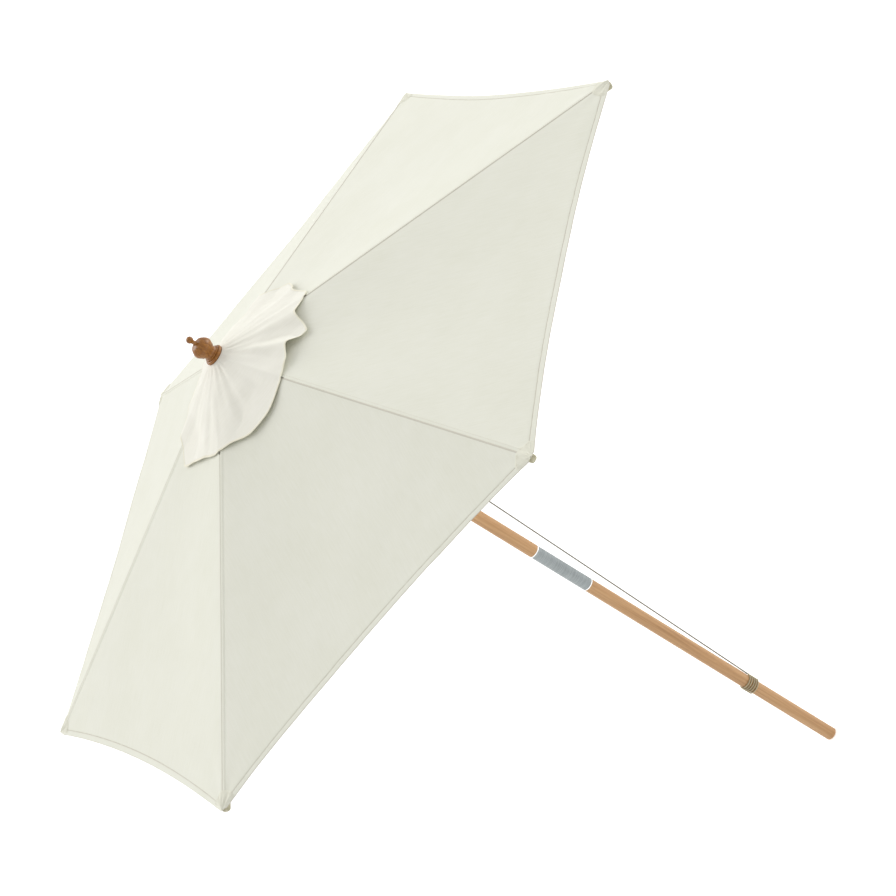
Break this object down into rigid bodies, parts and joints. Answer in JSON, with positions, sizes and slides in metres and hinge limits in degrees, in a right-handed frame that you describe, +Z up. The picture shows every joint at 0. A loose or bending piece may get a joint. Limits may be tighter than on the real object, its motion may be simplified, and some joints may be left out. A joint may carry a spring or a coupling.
{
  "type": "patio umbrella",
  "caption": "Open wooden market umbrella with a hinged rib frame, off-white canvas canopy with a loose vent cap, rope and pulley, and a pole in two halves.",
  "frame": {"origin": "centre of the pole's bottom end", "axes": "+Z up the pole, +X along one rib"},
  "size_m": [2.4, 2.0784, 2.3252],
  "materials": {
    "pole_wood": "sanded and oiled light hardwood",
    "frame_wood": "sanded and oiled light hardwood",
    "finial_wood": "turned and varnished, darker than the pole",
    "canvas": "woven off-white polyester canvas, sewn seams",
    "rope": "braided grey-beige cord",
    "aluminium": "brushed grey metal with bright rims",
    "steel": "zinc-plated",
    "nylon": "moulded off-white nylon",
    "tip_plastic": "moulded cream plastic"
  },
  "bodies": {
    "lower": {"lower_pole": "pole_wood", "joint_sleeve": "aluminium", "sleeve_screw": "steel", "rope_winding": "rope"},
    "upper": {"upper_pole": "pole_wood", "top_hub": "frame_wood", "hub_pins": "steel", "crown_spacer": "frame_wood", "finial": "finial_wood", "finial_stud": "steel", "vent_cap": "canvas", "pulley_block": "steel", "block_screws": "steel", "pulley_axle": "steel", "rope_run": "rope", "rope_lift": "rope"},
    "runner": {"runner": "frame_wood", "runner_bush": "nylon", "rope_knot": "rope"},
    "pulley": {"pulley_wheel": "nylon"},
    "rib_1": {"rib_1": "frame_wood", "rib_tip_1": "tip_plastic", "rib_bracket_1": "steel", "canopy_1": "canvas"},
    "strut_1": {"strut_1": "frame_wood", "strut_pins_1": "steel"},
    "rib_2": {"rib_2": "frame_wood", "rib_tip_2": "tip_plastic", "rib_bracket_2": "steel", "canopy_2": "canvas"},
    "strut_2": {"strut_2": "frame_wood", "strut_pins_2": "steel"},
    "rib_3": {"rib_3": "frame_wood", "rib_tip_3": "tip_plastic", "rib_bracket_3": "steel", "canopy_3": "canvas"},
    "strut_3": {"strut_3": "frame_wood", "strut_pins_3": "steel"},
    "rib_4": {"rib_4": "frame_wood", "rib_tip_4": "tip_plastic", "rib_bracket_4": "steel", "canopy_4": "canvas"},
    "strut_4": {"strut_4": "frame_wood", "strut_pins_4": "steel"},
    "rib_5": {"rib_5": "frame_wood", "rib_tip_5": "tip_plastic", "rib_bracket_5": "steel", "canopy_5": "canvas"},
    "strut_5": {"strut_5": "frame_wood", "strut_pins_5": "steel"},
    "rib_6": {"rib_6": "frame_wood", "rib_tip_6": "tip_plastic", "rib_bracket_6": "steel", "canopy_6": "canvas"},
    "strut_6": {"strut_6": "frame_wood", "strut_pins_6": "steel"}
  },
  "joints": [
    {"name": "pole_pull", "type": "slide", "parent": "lower", "child": "upper", "axis": [0, 0, 1], "range_m": [0, 0.1], "deforming": ["rope_run"]},
    {"name": "runner_slide", "type": "slide", "parent": "upper", "child": "runner", "axis": [0, 0, -1], "range_m": [0, 0.7585], "deforming": ["rope_lift", "vent_cap"]},
    {"name": "pulley_turn", "type": "hinge", "parent": "upper", "child": "pulley", "pos_m": [0.04677, 0.027, 2.14725], "axis": [0.5, -0.866, 0], "continuous": true},
    {"name": "rib_1_fold", "type": "hinge", "parent": "upper", "child": "rib_1", "pos_m": [0.042, 0, 2.19575], "axis": [0, 1, 0], "range_deg": [-0.05, 70.05], "deforming": ["canopy_1"]},
    {"name": "strut_1_turn", "type": "hinge", "parent": "rib_1", "child": "strut_1", "pos_m": [0.56518, 0, 2.02493], "axis": [0, 1, 0], "range_deg": [-140.1, 0.1]},
    {"name": "rib_2_fold", "type": "hinge", "parent": "upper", "child": "rib_2", "pos_m": [0.021, -0.03637, 2.19575], "axis": [0.866, 0.5, 0], "range_deg": [-0.05, 70.05], "deforming": ["canopy_2"]},
    {"name": "strut_2_turn", "type": "hinge", "parent": "rib_2", "child": "strut_2", "pos_m": [0.28259, -0.48946, 2.02493], "axis": [0.866, 0.5, 0], "range_deg": [-140.1, 0.1]},
    {"name": "rib_3_fold", "type": "hinge", "parent": "upper", "child": "rib_3", "pos_m": [-0.021, -0.03637, 2.19575], "axis": [0.866, -0.5, 0], "range_deg": [-0.05, 70.05], "deforming": ["canopy_3"]},
    {"name": "strut_3_turn", "type": "hinge", "parent": "rib_3", "child": "strut_3", "pos_m": [-0.28259, -0.48946, 2.02493], "axis": [0.866, -0.5, 0], "range_deg": [-140.1, 0.1]},
    {"name": "rib_4_fold", "type": "hinge", "parent": "upper", "child": "rib_4", "pos_m": [-0.042, 0, 2.19575], "axis": [0, -1, 0], "range_deg": [-0.05, 70.05], "deforming": ["canopy_4"]},
    {"name": "strut_4_turn", "type": "hinge", "parent": "rib_4", "child": "strut_4", "pos_m": [-0.56518, 0, 2.02493], "axis": [0, -1, 0], "range_deg": [-140.1, 0.1]},
    {"name": "rib_5_fold", "type": "hinge", "parent": "upper", "child": "rib_5", "pos_m": [-0.021, 0.03637, 2.19575], "axis": [-0.866, -0.5, 0], "range_deg": [-0.05, 70.05], "deforming": ["canopy_5"]},
    {"name": "strut_5_turn", "type": "hinge", "parent": "rib_5", "child": "strut_5", "pos_m": [-0.28259, 0.48946, 2.02493], "axis": [-0.866, -0.5, 0], "range_deg": [-140.1, 0.1]},
    {"name": "rib_6_fold", "type": "hinge", "parent": "upper", "child": "rib_6", "pos_m": [0.021, 0.03637, 2.19575], "axis": [-0.866, 0.5, 0], "range_deg": [-0.05, 70.05], "deforming": ["canopy_6"]},
    {"name": "strut_6_turn", "type": "hinge", "parent": "rib_6", "child": "strut_6", "pos_m": [0.28259, 0.48946, 2.02493], "axis": [-0.866, 0.5, 0], "range_deg": [-140.1, 0.1]}
  ],
  "couplings": [
    {"joint": "pulley_turn", "follows": "runner_slide", "rad_per_m": -45.455},
    {"joint": "rib_1_fold", "follows": "runner_slide", "rad_per_m": 1.6107},
    {"joint": "strut_1_turn", "follows": "runner_slide", "rad_per_m": -3.2214},
    {"joint": "rib_2_fold", "follows": "runner_slide", "rad_per_m": 1.6107},
    {"joint": "strut_2_turn", "follows": "runner_slide", "rad_per_m": -3.2214},
    {"joint": "rib_3_fold", "follows": "runner_slide", "rad_per_m": 1.6107},
    {"joint": "strut_3_turn", "follows": "runner_slide", "rad_per_m": -3.2214},
    {"joint": "rib_4_fold", "follows": "runner_slide", "rad_per_m": 1.6107},
    {"joint": "strut_4_turn", "follows": "runner_slide", "rad_per_m": -3.2214},
    {"joint": "rib_5_fold", "follows": "runner_slide", "rad_per_m": 1.6107},
    {"joint": "strut_5_turn", "follows": "runner_slide", "rad_per_m": -3.2214},
    {"joint": "rib_6_fold", "follows": "runner_slide", "rad_per_m": 1.6107},
    {"joint": "strut_6_turn", "follows": "runner_slide", "rad_per_m": -3.2214}
  ]
}
